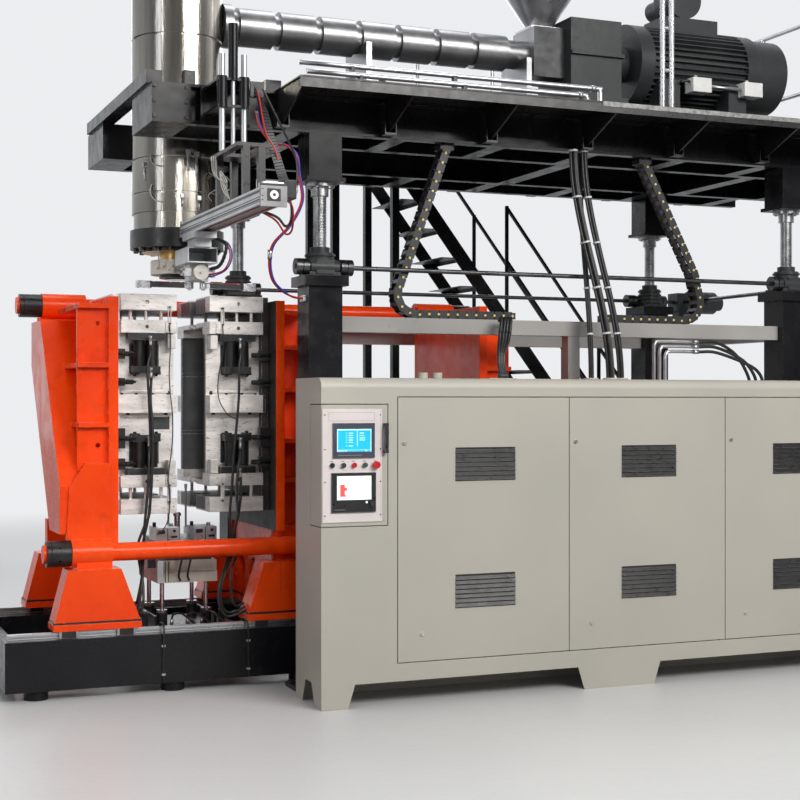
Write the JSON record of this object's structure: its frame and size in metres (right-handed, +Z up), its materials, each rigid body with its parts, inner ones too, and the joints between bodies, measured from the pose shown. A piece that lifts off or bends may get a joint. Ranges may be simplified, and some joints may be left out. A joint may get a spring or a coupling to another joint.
{
  "type": "blow moulding machine",
  "caption": "Accumulator-head blow moulding machine for drums: diagonal-tie clamp with split mould, die head and extruder on a lifting platform, control cabinet.",
  "frame": {"origin": "on the floor, under the centre of the outer box", "axes": "+X from the clamp end to the extruder motor, +Y away from the operator side, +Z up"},
  "size_m": [6.46, 4.4, 5.4],
  "materials": {
    "black_paint": "glossy black enamel",
    "orange_paint": "glossy orange-red enamel",
    "grey_paint": "light grey powder coat",
    "stair_paint": "dark enamel",
    "light_machine_paint": "light grey paint",
    "motor_paint": "dark grey-green enamel",
    "gear_paint": "dark enamel",
    "bright_steel": "ground steel",
    "dark_steel": "oiled steel",
    "blackened_steel": "blackened steel",
    "mould_metal": "milled and stained",
    "nickel": "polished jacket",
    "chrome": "hard chrome",
    "aluminium": "extruded and milled",
    "chain_plastic": "moulded links",
    "cable_rubber": "cable jackets",
    "green_button": "button cap",
    "red_button": "button cap",
    "dark_button": "button cap"
  },
  "bodies": {
    "frame": {"clamp_base": "black_paint", "guide_rails": "bright_steel", "columns": "black_paint", "column_rails": "black_paint", "jack_gearboxes": "gear_paint", "cabinet": "grey_paint", "control_gear": "light_machine_paint", "oil_tank": "light_machine_paint", "access_stair": "stair_paint", "blow_stand": "black_paint", "energy_chains": "chain_plastic", "cable_looms": "cable_rubber"},
    "clamp_outer": {"left_platen": "orange_paint", "tie_bars": "orange_paint", "tie_nuts": "blackened_steel", "yoke": "orange_paint", "clamp_cylinder": "black_paint", "left_mould": "mould_metal", "left_rams": "blackened_steel"},
    "clamp_inner": {"right_platen": "orange_paint", "clamp_rod": "chrome", "right_mould": "mould_metal", "right_rams": "blackened_steel"},
    "left_upper_ring": {"ring_left_upper": "mould_metal"},
    "left_lower_ring": {"ring_left_lower": "mould_metal"},
    "right_upper_ring": {"ring_right_upper": "mould_metal"},
    "right_lower_ring": {"ring_right_lower": "mould_metal"},
    "platform": {"platform_beams": "black_paint", "platform_deck": "stair_paint", "jack_screws": "dark_steel", "extruder_barrel": "bright_steel", "extruder_gearbox": "gear_paint", "main_motor": "motor_paint", "hopper": "bright_steel", "head_shroud": "nickel", "head_base": "blackened_steel", "head_cylinder": "gear_paint", "takeout_bracket": "black_paint"},
    "screw": {"extruder_screw": "bright_steel"},
    "mandrel": {"core_pin": "chrome"},
    "front_shaft": {"lift_shaft_front": "dark_steel"},
    "rear_shaft": {"lift_shaft_rear": "dark_steel"},
    "cross_shaft": {"lift_shaft_cross": "dark_steel"},
    "takeout_lift": {"takeout_frame": "aluminium"},
    "takeout_arm": {"takeout_carriage": "aluminium"},
    "left_jaw": {"jaw_left": "dark_steel"},
    "right_jaw": {"jaw_right": "dark_steel"},
    "blow_head": {"blow_table": "bright_steel"},
    "left_spreader": {"spreader_left": "bright_steel"},
    "right_spreader": {"spreader_right": "bright_steel"},
    "control_leaf": {"control_door": "grey_paint"},
    "leaf_1": {"door_1": "grey_paint"},
    "leaf_2": {"door_2": "grey_paint"},
    "leaf_3": {"door_3": "grey_paint"},
    "start": {"start_button": "dark_button"},
    "stop": {"stop_button": "red_button"},
    "selector": {"mode_selector": "dark_button"},
    "reset": {"reset_button": "green_button"},
    "estop": {"emergency_stop": "red_button"},
    "knob": {"adjust_knob": "dark_button"}
  },
  "joints": [
    {"name": "clamp_close", "type": "slide", "parent": "frame", "child": "clamp_outer", "axis": [1, 0, 0], "range_m": [-0.25, 0.109]},
    {"name": "clamp_inner_travel", "type": "slide", "parent": "frame", "child": "clamp_inner", "axis": [1, 0, 0], "range_m": [-0.109, 0.25]},
    {"name": "left_upper_ring_lift", "type": "slide", "parent": "clamp_outer", "child": "left_upper_ring", "axis": [0, 0, 1], "range_m": [0, 0.05]},
    {"name": "left_lower_ring_drop", "type": "slide", "parent": "clamp_outer", "child": "left_lower_ring", "axis": [0, 0, 1], "range_m": [-0.05, 0]},
    {"name": "right_upper_ring_lift", "type": "slide", "parent": "clamp_inner", "child": "right_upper_ring", "axis": [0, 0, 1], "range_m": [0, 0.05]},
    {"name": "right_lower_ring_drop", "type": "slide", "parent": "clamp_inner", "child": "right_lower_ring", "axis": [0, 0, 1], "range_m": [-0.05, 0]},
    {"name": "platform_lift", "type": "slide", "parent": "frame", "child": "platform", "axis": [0, 0, 1], "range_m": [-0.1, 0.15], "deforming": ["energy_chains", "cable_looms"]},
    {"name": "front_shaft_turn", "type": "hinge", "parent": "frame", "child": "front_shaft", "pos_m": [2.67, -1, 2.69], "axis": [1, 0, 0], "range_deg": [-3700, 5500]},
    {"name": "rear_shaft_turn", "type": "hinge", "parent": "frame", "child": "rear_shaft", "pos_m": [2.67, 1, 2.69], "axis": [1, 0, 0], "range_deg": [-3700, 5500]},
    {"name": "cross_shaft_turn", "type": "hinge", "parent": "frame", "child": "cross_shaft", "pos_m": [2.67, 0, 2.69], "axis": [0, 1, 0], "range_deg": [-3700, 5500]},
    {"name": "screw_turn", "type": "hinge", "parent": "platform", "child": "screw", "pos_m": [0, 0, 4.42], "axis": [1, 0, 0], "continuous": true},
    {"name": "mandrel_travel", "type": "slide", "parent": "platform", "child": "mandrel", "axis": [0, 0, 1], "range_m": [-0.02, 0]},
    {"name": "takeout_lift_travel", "type": "slide", "parent": "platform", "child": "takeout_lift", "axis": [0, 0, 1], "range_m": [0, 0.2]},
    {"name": "takeout_travel", "type": "slide", "parent": "takeout_lift", "child": "takeout_arm", "axis": [0, 1, 0], "range_m": [-1.2, 0]},
    {"name": "left_jaw_swing", "type": "hinge", "parent": "takeout_arm", "child": "left_jaw", "pos_m": [-2.045, -0.515, 2.586], "axis": [0, 0, -1], "range_deg": [0, 80]},
    {"name": "right_jaw_swing", "type": "hinge", "parent": "takeout_arm", "child": "right_jaw", "pos_m": [-1.955, -0.515, 2.586], "axis": [0, 0, 1], "range_deg": [0, 80]},
    {"name": "blow_head_lift", "type": "slide", "parent": "frame", "child": "blow_head", "axis": [0, 0, 1], "range_m": [-0.12, 0.05]},
    {"name": "left_spreader_travel", "type": "slide", "parent": "blow_head", "child": "left_spreader", "axis": [1, 0, 0], "range_m": [-0.03, 0]},
    {"name": "right_spreader_travel", "type": "slide", "parent": "blow_head", "child": "right_spreader", "axis": [1, 0, 0], "range_m": [0, 0.03]},
    {"name": "control_door_swing", "type": "hinge", "parent": "frame", "child": "control_leaf", "pos_m": [-1.512, -1.423, 1.455], "axis": [0, 0, -1], "range_deg": [0, 100]},
    {"name": "door_1_swing", "type": "hinge", "parent": "frame", "child": "leaf_1", "pos_m": [0.118, -1.582, 1.0585], "axis": [0, 0, 1], "range_deg": [0, 90]},
    {"name": "door_2_swing", "type": "hinge", "parent": "frame", "child": "leaf_2", "pos_m": [1.298, -1.582, 1.0585], "axis": [0, 0, 1], "range_deg": [0, 90]},
    {"name": "door_3_swing", "type": "hinge", "parent": "frame", "child": "leaf_3", "pos_m": [2.478, -1.582, 1.0585], "axis": [0, 0, 1], "range_deg": [0, 90]},
    {"name": "start_press", "type": "slide", "parent": "control_leaf", "child": "start", "axis": [0, 1, 0], "range_m": [0, 0.004], "stiffness_N_per_m": 700},
    {"name": "stop_press", "type": "slide", "parent": "control_leaf", "child": "stop", "axis": [0, 1, 0], "range_m": [0, 0.004], "stiffness_N_per_m": 700},
    {"name": "reset_press", "type": "slide", "parent": "control_leaf", "child": "reset", "axis": [0, 1, 0], "range_m": [0, 0.004], "stiffness_N_per_m": 700},
    {"name": "estop_press", "type": "slide", "parent": "control_leaf", "child": "estop", "axis": [0, 1, 0], "range_m": [0, 0.005]},
    {"name": "selector_turn", "type": "hinge", "parent": "control_leaf", "child": "selector", "pos_m": [-1.459, -1.61, 1.457], "axis": [0, 1, 0], "range_deg": [-45, 45]},
    {"name": "knob_turn", "type": "hinge", "parent": "control_leaf", "child": "knob", "pos_m": [-1.215, -1.62, 1.224], "axis": [0, 1, 0], "range_deg": [-150, 150]}
  ],
  "couplings": [
    {"joint": "clamp_inner_travel", "follows": "clamp_close", "ratio": -1},
    {"joint": "left_lower_ring_drop", "follows": "left_upper_ring_lift", "ratio": -1},
    {"joint": "right_upper_ring_lift", "follows": "left_upper_ring_lift", "ratio": 1},
    {"joint": "right_lower_ring_drop", "follows": "left_upper_ring_lift", "ratio": -1},
    {"joint": "front_shaft_turn", "follows": "platform_lift", "rad_per_m": 628.32},
    {"joint": "rear_shaft_turn", "follows": "platform_lift", "rad_per_m": 628.32},
    {"joint": "cross_shaft_turn", "follows": "platform_lift", "rad_per_m": 628.32},
    {"joint": "right_jaw_swing", "follows": "left_jaw_swing", "ratio": 1},
    {"joint": "right_spreader_travel", "follows": "left_spreader_travel", "ratio": -1}
  ]
}
